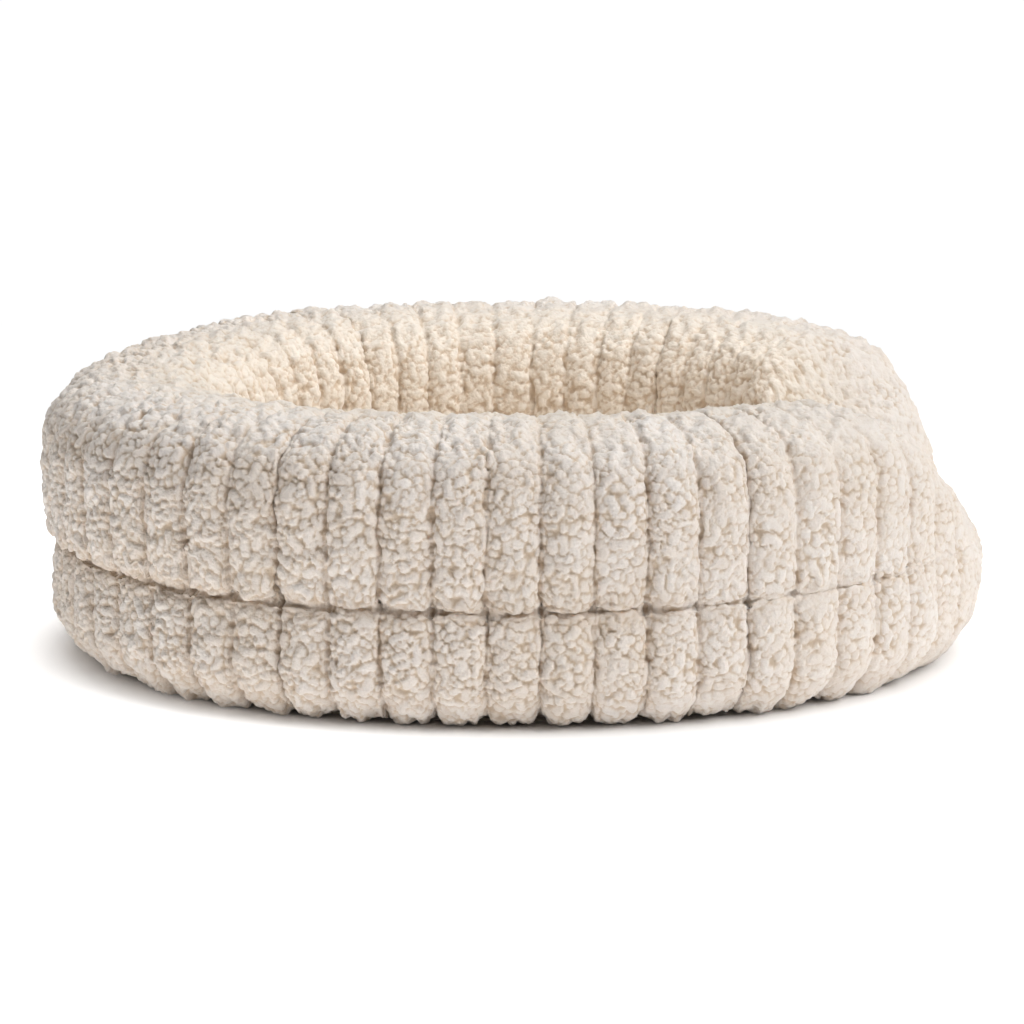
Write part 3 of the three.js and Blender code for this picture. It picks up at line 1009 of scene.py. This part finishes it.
def woven(name):
    n = Nodes(name)
    place = n.add("ShaderNodeTexCoord").outputs["Object"]
    weft, warp = (
        n.add("ShaderNodeTexWave", {"bands_direction": way}, Vector=place, Scale=420.0)
        for way in "XY"
    )
    weave = n.math("MAXIMUM", weft.outputs["Fac"], warp.outputs["Fac"])
    patch = n.add("ShaderNodeTexNoise", Vector=place, Scale=30.0, Detail=3.0)
    # The weave and patches are the cloth's own, but in colours darkened to painted shade, so that
    # the cloth's edge under the wall reads as the contact shadow.
    colour = n.mix(weave, (0.42, 0.36, 0.29, 1), (0.62, 0.55, 0.46, 1))
    colour = n.mix(n.ramp(patch.outputs["Fac"], 0.3, 0.8, 0.0, 0.3), colour, (0.50, 0.44, 0.36, 1))
    bump = n.add("ShaderNodeBump", Height=weave, Strength=0.4, Distance=0.0003)
    shader = n.add("ShaderNodeBsdfPrincipled", Base_Color=colour, Roughness=0.9,
                   Normal=bump.outputs[0], Specular_IOR_Level=0.2)
    return n.finish(shader.outputs[0])


def pale_floor(name):
    """A matt floor that glows a little, and more where the bed's broad shadow would grey it.

    The tight shadow under the bed stays. Far from the bed the floor is plain white light.
    """
    n = Nodes(name)
    matt = n.add("ShaderNodeBsdfDiffuse", Color=(0.96, 0.96, 0.965, 1))
    lit = n.add("ShaderNodeEmission", Color=WHITE)
    far_white = n.add("ShaderNodeEmission", Color=WHITE, Strength=1.02)
    place = n.add("ShaderNodeSeparateXYZ", Vector=n.add("ShaderNodeTexCoord").outputs["Object"])
    x, y = place.outputs["X"], place.outputs["Y"]

    # away is 1 at the bed's edge and grows in proportion.
    across, deep = (n.math("DIVIDE", value, half) for value, half in zip((x, y), BED_HALF))
    square = n.math("ADD", n.math("MULTIPLY", across, across), n.math("MULTIPLY", deep, deep))
    away = n.math("SQRT", square)
    ring = n.math("MULTIPLY", n.ramp(away, 0.88, 1.06), n.ramp(away, 2.2, 3.4, 1.0, 0.0))
    ring = n.math("MULTIPLY", ring, n.ramp(x, -0.3, 0.15, 0.55, 0.19))
    n.put(lit.inputs["Strength"], n.math("ADD", ring, n.ramp(away, 0.9, 1.1, 0.0, 0.16)))
    near = n.add("ShaderNodeAddShader")
    n.put(near.inputs[0], matt.outputs[0])
    n.put(near.inputs[1], lit.outputs[0])
    both = n.add("ShaderNodeMixShader", Fac=n.ramp(away, 4.0, 5.0))
    n.put(both.inputs[1], near.outputs[0])
    n.put(both.inputs[2], far_white.outputs[0])
    return n.finish(both.outputs[0])


# Stage, light and camera

def build_floor():
    mesh = bpy.data.meshes.new("floor")
    corners = [(x * FLOOR_HALF, y * FLOOR_HALF, 0) for x, y in ((-1, -1), (1, -1), (1, 1), (-1, 1))]
    mesh.from_pydata(corners, [], [(0, 1, 2, 3)])
    mesh.materials.append(pale_floor("floor_white"))
    add_object("floor", mesh)


def build_lights():
    world = bpy.data.worlds.new("soft_white")
    world.use_nodes = True
    background = world.node_tree.nodes["Background"]
    background.inputs["Color"].default_value = WHITE
    background.inputs["Strength"].default_value = 0.03
    bpy.context.scene.world = world
    for name, (azimuth, elevation, width, energy) in SUNS.items():
        sun = bpy.data.lights.new(name, "SUN")
        sun.energy = energy
        sun.angle = math.radians(width)
        lamp = add_object(name, sun)
        lamp.rotation_euler = (math.radians(90 - elevation), 0, math.radians(azimuth))

    # A small soft lamp lights the hollow's far side.
    panel = bpy.data.lights.new("nest_fill", "AREA")
    panel.shape = "RECTANGLE"
    panel.size, panel.size_y = 0.3, 0.06
    panel.energy = 0.105
    panel.color = (1.0, 0.91, 0.81)
    lamp = add_object("nest_fill", panel)
    lamp.location = (0.03, -0.02, 0.235)
    lamp.rotation_euler = (math.radians(70), 0, 0)
    lamp.visible_camera = False


def build_camera():
    camera = bpy.data.cameras.new("photo_view")
    camera.lens = CAMERA_LENS
    camera.sensor_width = 36.0
    camera.clip_start = 0.05
    camera.clip_end = 60.0
    view = add_object("photo_view", camera)
    tilt = math.radians(CAMERA_ELEVATION)
    view.location = (
        CAMERA_AIM[0],
        CAMERA_AIM[1] - CAMERA_DISTANCE * math.cos(tilt),
        CAMERA_AIM[2] + CAMERA_DISTANCE * math.sin(tilt),
    )
    view.rotation_euler = (math.radians(90) - tilt, 0, 0)
    scene = bpy.context.scene
    scene.camera = view
    scene.view_settings.view_transform = "Standard"
    scene.view_settings.look = "None"


build_floor()
build_lights()
build_camera()
pile = fleece("curly_fleece")
build_wall(pile)
build_cushion(pile)
# The base cloth's darker colour is painted shade.
build_base(woven("base_cloth_painted_shade"))
